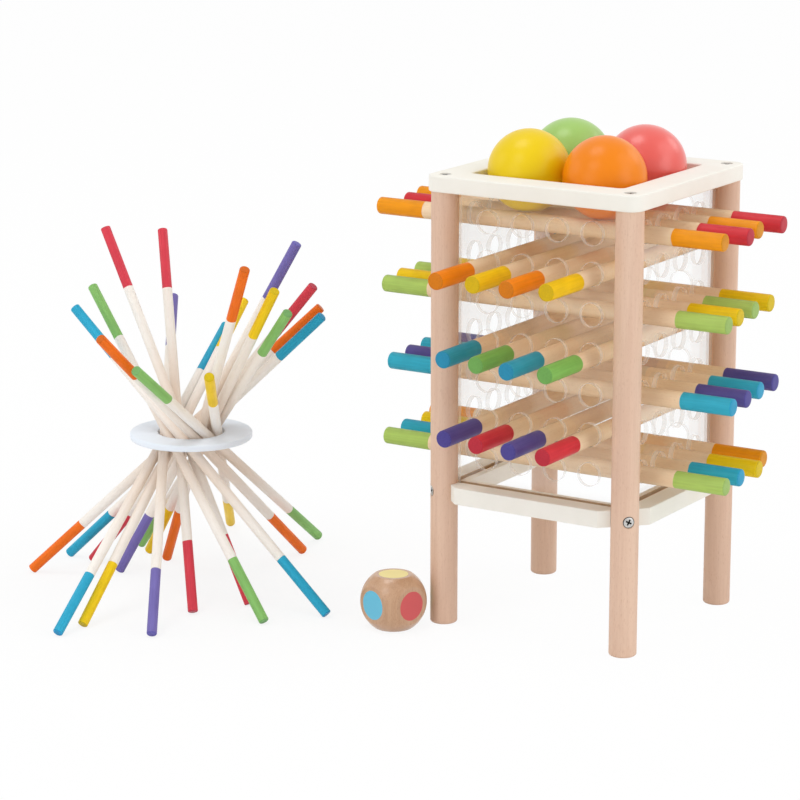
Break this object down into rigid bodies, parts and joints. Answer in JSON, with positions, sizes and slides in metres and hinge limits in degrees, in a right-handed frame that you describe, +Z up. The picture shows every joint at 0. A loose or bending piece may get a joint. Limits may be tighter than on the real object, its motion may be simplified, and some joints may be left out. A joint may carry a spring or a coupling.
{
  "type": "pick-up sticks game",
  "caption": "Wooden pick-up sticks game: a tower whose sticks slide through clear panels under a mouth filled with balls, a bundle of thin sticks in a ring, and a colour die.",
  "frame": {"origin": "on the table, under the middle of the whole set as it stands in the picture", "axes": "+X to the right from the bundle towards the tower, +Y to the back, +Z up from the table"},
  "size_m": [0.444, 0.3275, 0.2903],
  "materials": {
    "frame_paint": "satin off-white paint on wood",
    "base_wood": "smooth pale wood with off-white painted sides",
    "post_wood": "clear satin lacquer on pinkish beech",
    "clear_panel": "clear polished acrylic sheet",
    "screw_steel": "zinc-plated cross-head wood screw",
    "die_wood": "satin varnish with a coloured disc on each side",
    "ring_board": "pale matt ring",
    "stick_red": "natural wood with satin red paint on both ends",
    "stick_orange": "natural wood with satin orange paint on both ends",
    "stick_yellow": "natural wood with satin yellow paint on both ends",
    "stick_green": "natural wood with satin green paint on both ends",
    "stick_blue": "natural wood with satin blue paint on both ends",
    "stick_purple": "natural wood with satin purple paint on both ends",
    "ball_yellow": "high-gloss yellow lacquer on wood",
    "ball_orange": "high-gloss orange lacquer on wood",
    "ball_green": "high-gloss green lacquer on wood",
    "ball_red": "high-gloss red lacquer on wood"
  },
  "bodies": {
    "tower": {"top_frame": "frame_paint", "base_frame": "base_wood", "post_front_left": "post_wood", "post_front_right": "post_wood", "post_back_right": "post_wood", "post_back_left": "post_wood", "front_and_back_panels": "clear_panel", "side_panels": "clear_panel", "screws": "screw_steel"},
    "row1_stick_1": {"row1_stick_1": "stick_orange"},
    "row1_stick_2": {"row1_stick_2": "stick_red"},
    "row1_stick_3": {"row1_stick_3": "stick_orange"},
    "row1_stick_4": {"row1_stick_4": "stick_red"},
    "row2_stick_1": {"row2_stick_1": "stick_orange"},
    "row2_stick_2": {"row2_stick_2": "stick_yellow"},
    "row2_stick_3": {"row2_stick_3": "stick_orange"},
    "row2_stick_4": {"row2_stick_4": "stick_yellow"},
    "row3_stick_1": {"row3_stick_1": "stick_green"},
    "row3_stick_2": {"row3_stick_2": "stick_yellow"},
    "row3_stick_3": {"row3_stick_3": "stick_green"},
    "row3_stick_4": {"row3_stick_4": "stick_yellow"},
    "row4_stick_1": {"row4_stick_1": "stick_blue"},
    "row4_stick_2": {"row4_stick_2": "stick_green"},
    "row4_stick_3": {"row4_stick_3": "stick_blue"},
    "row4_stick_4": {"row4_stick_4": "stick_green"},
    "row5_stick_1": {"row5_stick_1": "stick_blue"},
    "row5_stick_2": {"row5_stick_2": "stick_purple"},
    "row5_stick_3": {"row5_stick_3": "stick_blue"},
    "row5_stick_4": {"row5_stick_4": "stick_purple"},
    "row6_stick_1": {"row6_stick_1": "stick_purple"},
    "row6_stick_2": {"row6_stick_2": "stick_red"},
    "row6_stick_3": {"row6_stick_3": "stick_purple"},
    "row6_stick_4": {"row6_stick_4": "stick_red"},
    "row7_stick_1": {"row7_stick_1": "stick_green"},
    "row7_stick_2": {"row7_stick_2": "stick_blue"},
    "row7_stick_3": {"row7_stick_3": "stick_yellow"},
    "row7_stick_4": {"row7_stick_4": "stick_orange"},
    "ball_yellow": {"ball_yellow": "ball_yellow"},
    "ball_orange": {"ball_orange": "ball_orange"},
    "ball_green": {"ball_green": "ball_green"},
    "ball_red": {"ball_red": "ball_red"},
    "die": {"die": "die_wood"},
    "ring": {"ring": "ring_board"},
    "thin_stick_orange_1": {"thin_stick_orange_1": "stick_orange"},
    "thin_stick_blue_1": {"thin_stick_blue_1": "stick_blue"},
    "thin_stick_red_1": {"thin_stick_red_1": "stick_red"},
    "thin_stick_blue_2": {"thin_stick_blue_2": "stick_blue"},
    "thin_stick_yellow_1": {"thin_stick_yellow_1": "stick_yellow"},
    "thin_stick_purple_1": {"thin_stick_purple_1": "stick_purple"},
    "thin_stick_green_1": {"thin_stick_green_1": "stick_green"},
    "thin_stick_yellow_2": {"thin_stick_yellow_2": "stick_yellow"},
    "thin_stick_orange_2": {"thin_stick_orange_2": "stick_orange"},
    "thin_stick_purple_2": {"thin_stick_purple_2": "stick_purple"},
    "thin_stick_red_2": {"thin_stick_red_2": "stick_red"},
    "thin_stick_yellow_3": {"thin_stick_yellow_3": "stick_yellow"},
    "thin_stick_green_2": {"thin_stick_green_2": "stick_green"},
    "thin_stick_red_3": {"thin_stick_red_3": "stick_red"},
    "thin_stick_blue_3": {"thin_stick_blue_3": "stick_blue"},
    "thin_stick_orange_3": {"thin_stick_orange_3": "stick_orange"},
    "thin_stick_green_3": {"thin_stick_green_3": "stick_green"}
  },
  "joints": [
    {"name": "row1_stick_1_slide", "type": "slide", "parent": "tower", "child": "row1_stick_1", "axis": [1, 0, 0], "range_m": [-0.162, 0.176]},
    {"name": "row1_stick_2_slide", "type": "slide", "parent": "tower", "child": "row1_stick_2", "axis": [1, 0, 0], "range_m": [-0.1665, 0.1715]},
    {"name": "row1_stick_3_slide", "type": "slide", "parent": "tower", "child": "row1_stick_3", "axis": [1, 0, 0], "range_m": [-0.1615, 0.1765]},
    {"name": "row1_stick_4_slide", "type": "slide", "parent": "tower", "child": "row1_stick_4", "axis": [1, 0, 0], "range_m": [-0.1655, 0.1725]},
    {"name": "row2_stick_1_slide", "type": "slide", "parent": "tower", "child": "row2_stick_1", "axis": [0, -1, 0], "range_m": [-0.169, 0.169]},
    {"name": "row2_stick_2_slide", "type": "slide", "parent": "tower", "child": "row2_stick_2", "axis": [0, -1, 0], "range_m": [-0.167, 0.171]},
    {"name": "row2_stick_3_slide", "type": "slide", "parent": "tower", "child": "row2_stick_3", "axis": [0, -1, 0], "range_m": [-0.1685, 0.1695]},
    {"name": "row2_stick_4_slide", "type": "slide", "parent": "tower", "child": "row2_stick_4", "axis": [0, -1, 0], "range_m": [-0.164, 0.174]},
    {"name": "row3_stick_1_slide", "type": "slide", "parent": "tower", "child": "row3_stick_1", "axis": [1, 0, 0], "range_m": [-0.1517, 0.1725]},
    {"name": "row3_stick_2_slide", "type": "slide", "parent": "tower", "child": "row3_stick_2", "axis": [1, 0, 0], "range_m": [-0.1615, 0.1765]},
    {"name": "row3_stick_3_slide", "type": "slide", "parent": "tower", "child": "row3_stick_3", "axis": [1, 0, 0], "range_m": [-0.16, 0.178]},
    {"name": "row3_stick_4_slide", "type": "slide", "parent": "tower", "child": "row3_stick_4", "axis": [1, 0, 0], "range_m": [-0.159, 0.179]},
    {"name": "row4_stick_1_slide", "type": "slide", "parent": "tower", "child": "row4_stick_1", "axis": [0, -1, 0], "range_m": [-0.161, 0.177]},
    {"name": "row4_stick_2_slide", "type": "slide", "parent": "tower", "child": "row4_stick_2", "axis": [0, -1, 0], "range_m": [-0.163, 0.175]},
    {"name": "row4_stick_3_slide", "type": "slide", "parent": "tower", "child": "row4_stick_3", "axis": [0, -1, 0], "range_m": [-0.168, 0.17]},
    {"name": "row4_stick_4_slide", "type": "slide", "parent": "tower", "child": "row4_stick_4", "axis": [0, -1, 0], "range_m": [-0.1645, 0.1735]},
    {"name": "row5_stick_1_slide", "type": "slide", "parent": "tower", "child": "row5_stick_1", "axis": [1, 0, 0], "range_m": [-0.0648, 0.1685]},
    {"name": "row5_stick_2_slide", "type": "slide", "parent": "tower", "child": "row5_stick_2", "axis": [1, 0, 0], "range_m": [-0.1205, 0.1705]},
    {"name": "row5_stick_3_slide", "type": "slide", "parent": "tower", "child": "row5_stick_3", "axis": [1, 0, 0], "range_m": [-0.1645, 0.1735]},
    {"name": "row5_stick_4_slide", "type": "slide", "parent": "tower", "child": "row5_stick_4", "axis": [1, 0, 0], "range_m": [-0.163, 0.175]},
    {"name": "row6_stick_1_slide", "type": "slide", "parent": "tower", "child": "row6_stick_1", "axis": [0, -1, 0], "range_m": [-0.1595, 0.1785]},
    {"name": "row6_stick_2_slide", "type": "slide", "parent": "tower", "child": "row6_stick_2", "axis": [0, -1, 0], "range_m": [-0.1625, 0.1755]},
    {"name": "row6_stick_3_slide", "type": "slide", "parent": "tower", "child": "row6_stick_3", "axis": [0, -1, 0], "range_m": [-0.165, 0.173]},
    {"name": "row6_stick_4_slide", "type": "slide", "parent": "tower", "child": "row6_stick_4", "axis": [0, -1, 0], "range_m": [-0.166, 0.172]},
    {"name": "row7_stick_1_slide", "type": "slide", "parent": "tower", "child": "row7_stick_1", "axis": [1, 0, 0], "range_m": [-0.1118, 0.1715]},
    {"name": "row7_stick_2_slide", "type": "slide", "parent": "tower", "child": "row7_stick_2", "axis": [1, 0, 0], "range_m": [-0.1645, 0.1735]},
    {"name": "row7_stick_3_slide", "type": "slide", "parent": "tower", "child": "row7_stick_3", "axis": [1, 0, 0], "range_m": [-0.165, 0.173]},
    {"name": "row7_stick_4_slide", "type": "slide", "parent": "tower", "child": "row7_stick_4", "axis": [1, 0, 0], "range_m": [-0.157, 0.181]},
    {"name": "ball_yellow_lift", "type": "slide", "parent": "tower", "child": "ball_yellow", "axis": [0, 0, 1], "range_m": [0, 0.12]},
    {"name": "ball_orange_lift", "type": "slide", "parent": "tower", "child": "ball_orange", "axis": [0, 0, 1], "range_m": [0, 0.12]},
    {"name": "ball_green_lift", "type": "slide", "parent": "tower", "child": "ball_green", "axis": [0, 0, 1], "range_m": [0, 0.12]},
    {"name": "ball_red_lift", "type": "slide", "parent": "tower", "child": "ball_red", "axis": [0, 0, 1], "range_m": [0, 0.12]},
    {"name": "die_lift", "type": "slide", "parent": "tower", "child": "die", "axis": [0, 0, 1], "range_m": [0, 0.1]},
    {"name": "ring_lift", "type": "slide", "parent": "tower", "child": "ring", "axis": [0, 0, 1], "range_m": [0, 0.1]},
    {"name": "thin_stick_orange_1_draw", "type": "slide", "parent": "ring", "child": "thin_stick_orange_1", "axis": [0.6448, 0.3449, 0.6821], "range_m": [0, 0.088]},
    {"name": "thin_stick_blue_1_draw", "type": "slide", "parent": "ring", "child": "thin_stick_blue_1", "axis": [0.7233, 0.0829, 0.6856], "range_m": [0, 0.0913]},
    {"name": "thin_stick_red_1_draw", "type": "slide", "parent": "ring", "child": "thin_stick_red_1", "axis": [0.6399, 0.0591, 0.7662], "range_m": [0, 0.127]},
    {"name": "thin_stick_blue_2_draw", "type": "slide", "parent": "ring", "child": "thin_stick_blue_2", "axis": [-0.0775, 0.8089, 0.5829], "range_m": [0, 0.167]},
    {"name": "thin_stick_yellow_1_draw", "type": "slide", "parent": "ring", "child": "thin_stick_yellow_1", "axis": [-0.0567, 0.7633, 0.6435], "range_m": [0, 0.1512]},
    {"name": "thin_stick_purple_1_draw", "type": "slide", "parent": "ring", "child": "thin_stick_purple_1", "axis": [0.4871, 0.086, 0.8691], "range_m": [0, 0.1119]},
    {"name": "thin_stick_green_1_draw", "type": "slide", "parent": "ring", "child": "thin_stick_green_1", "axis": [0.6383, -0.2553, 0.7262], "range_m": [0, 0.134]},
    {"name": "thin_stick_yellow_2_draw", "type": "slide", "parent": "ring", "child": "thin_stick_yellow_2", "axis": [0.5686, -0.2497, 0.7838], "range_m": [0, 0.1242]},
    {"name": "thin_stick_orange_2_draw", "type": "slide", "parent": "ring", "child": "thin_stick_orange_2", "axis": [0.4542, -0.2873, 0.8433], "range_m": [0, 0.1154]},
    {"name": "thin_stick_purple_2_draw", "type": "slide", "parent": "ring", "child": "thin_stick_purple_2", "axis": [-0.3947, 0.6458, 0.6536], "range_m": [0, 0.1489]},
    {"name": "thin_stick_red_2_draw", "type": "slide", "parent": "ring", "child": "thin_stick_red_2", "axis": [-0.3744, 0.411, 0.8312], "range_m": [0, 0.1171]},
    {"name": "thin_stick_yellow_3_draw", "type": "slide", "parent": "ring", "child": "thin_stick_yellow_3", "axis": [0.4312, -0.6876, 0.5842], "range_m": [0, 0.1666]},
    {"name": "thin_stick_green_2_draw", "type": "slide", "parent": "ring", "child": "thin_stick_green_2", "axis": [-0.6751, 0.2378, 0.6983], "range_m": [0, 0.1394]},
    {"name": "thin_stick_red_3_draw", "type": "slide", "parent": "ring", "child": "thin_stick_red_3", "axis": [-0.5, 0.1129, 0.8586], "range_m": [0, 0.1133]},
    {"name": "thin_stick_blue_3_draw", "type": "slide", "parent": "ring", "child": "thin_stick_blue_3", "axis": [-0.7461, 0.0068, 0.6658], "range_m": [0, 0.1462]},
    {"name": "thin_stick_orange_3_draw", "type": "slide", "parent": "ring", "child": "thin_stick_orange_3", "axis": [-0.0752, -0.7273, 0.6822], "range_m": [0, 0.1427]},
    {"name": "thin_stick_green_3_draw", "type": "slide", "parent": "ring", "child": "thin_stick_green_3", "axis": [0.021, -0.799, 0.601], "range_m": [0, 0.1619]}
  ]
}
